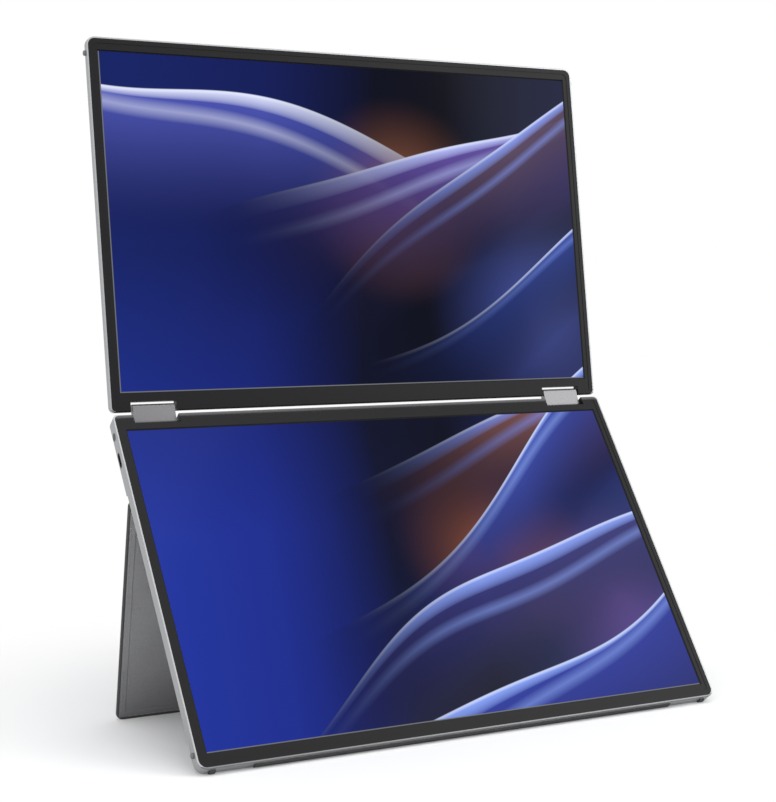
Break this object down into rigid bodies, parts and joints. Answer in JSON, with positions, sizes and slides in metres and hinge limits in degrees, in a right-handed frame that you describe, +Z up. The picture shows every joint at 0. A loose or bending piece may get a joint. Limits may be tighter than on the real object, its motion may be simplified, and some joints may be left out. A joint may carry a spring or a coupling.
{
  "type": "folding dual portable monitor",
  "caption": "Portable monitor whose equal screens fold on geared double hinges, one above the other, and stand on a wide fold-out rear stand.",
  "frame": {"origin": "centre of the bounding box in X and Y, on the table plane in Z", "axes": "+X to the viewer's right across the screens, +Y away from the viewer, +Z up; the screens face -Y"},
  "size_m": [0.317, 0.1626, 0.3748],
  "materials": {
    "silver_shell": "anodised satin, fine bead-blasted",
    "bezel_black": "fine matt, slightly raised rim",
    "screen_picture": "glossy, lit from within",
    "stiff_frame_metal": "stamped, bare",
    "circuit_board": "solder-mask green",
    "chip_black": "matt",
    "flex_ribbon": "amber film",
    "screw_steel": "zinc plated",
    "hinge_steel": "plain",
    "shaft_steel": "ground",
    "gear_brass": "cut",
    "hinge_block_metal": "satin grey",
    "socket_steel": "dark plated",
    "bush_brass": "turned",
    "button_dark": "anodised dark satin",
    "rubber_dark": "matt",
    "stand_core": "fibre board",
    "stand_skin": "fine grained imitation leather",
    "stand_hem": "folded and stitched"
  },
  "bodies": {
    "lower_unit": {"lower_rear_cover": "silver_shell", "lower_bezel": "bezel_black", "lower_screen": "screen_picture", "lower_frame": "stiff_frame_metal", "main_board": "circuit_board", "board_chips": "chip_black", "port_board": "circuit_board", "board_ribbon": "flex_ribbon", "screen_ribbon": "flex_ribbon", "board_screws": "screw_steel", "left_data_socket": "socket_steel", "right_data_socket": "socket_steel", "video_socket": "socket_steel", "button_switch": "chip_black", "tripod_bush": "bush_brass", "cover_screws": "screw_steel", "lower_side_bumpers": "rubber_dark", "bottom_feet": "rubber_dark", "lower_hinge_brackets": "hinge_steel", "lower_hinge_shafts": "shaft_steel", "lower_hinge_screws": "screw_steel", "stand_hinge_brackets": "hinge_steel", "stand_hinge_screws": "screw_steel", "stand_hinge_pins": "shaft_steel"},
    "button": {"power_button": "button_dark"},
    "hinge_links": {"hinge_block_left": "hinge_block_metal", "hinge_block_right": "hinge_block_metal", "hinge_end_caps": "hinge_block_metal", "idler_pins": "shaft_steel"},
    "lower_idlers": {"lower_idler_gears": "gear_brass"},
    "upper_idlers": {"upper_idler_gears": "gear_brass"},
    "upper_unit": {"upper_rear_cover": "silver_shell", "upper_bezel": "bezel_black", "upper_screen": "screen_picture", "upper_frame": "stiff_frame_metal", "upper_board": "circuit_board", "upper_board_chips": "chip_black", "upper_side_bumpers": "rubber_dark", "upper_hinge_brackets": "hinge_steel", "upper_hinge_shafts": "shaft_steel", "upper_hinge_screws": "screw_steel"},
    "stand": {"stand_board": "stand_core", "stand_lining": "stand_skin", "stand_cover": "stand_skin", "stand_hems": "stand_hem", "stand_foot": "rubber_dark", "stand_hinge_leaves": "hinge_steel"}
  },
  "joints": [
    {"name": "link_fold", "type": "hinge", "parent": "lower_unit", "child": "hinge_links", "pos_m": [0, 0.04549, 0.1645], "axis": [1, 0, 0], "range_deg": [-77.75, 75.75]},
    {"name": "upper_fold", "type": "hinge", "parent": "hinge_links", "child": "upper_unit", "pos_m": [0, 0.04868, 0.17211], "axis": [1, 0, 0], "range_deg": [-77.75, 75.75]},
    {"name": "lower_idler_turn", "type": "hinge", "parent": "hinge_links", "child": "lower_idlers", "pos_m": [0, 0.04655, 0.16704], "axis": [1, 0, 0], "range_deg": [-80, 80]},
    {"name": "upper_idler_turn", "type": "hinge", "parent": "hinge_links", "child": "upper_idlers", "pos_m": [0, 0.04762, 0.16957], "axis": [1, 0, 0], "range_deg": [-80, 80]},
    {"name": "stand_fold", "type": "hinge", "parent": "lower_unit", "child": "stand", "pos_m": [0, 0.01876, 0.12354], "axis": [1, 0, 0], "range_deg": [-50, 0]},
    {"name": "power_press", "type": "slide", "parent": "lower_unit", "child": "button", "axis": [1, 0, 0], "range_m": [0, 0.0004], "stiffness_N_per_m": 700}
  ],
  "couplings": [
    {"joint": "link_fold", "follows": "upper_fold", "ratio": 1},
    {"joint": "lower_idler_turn", "follows": "upper_fold", "ratio": 1},
    {"joint": "upper_idler_turn", "follows": "upper_fold", "ratio": -1}
  ]
}
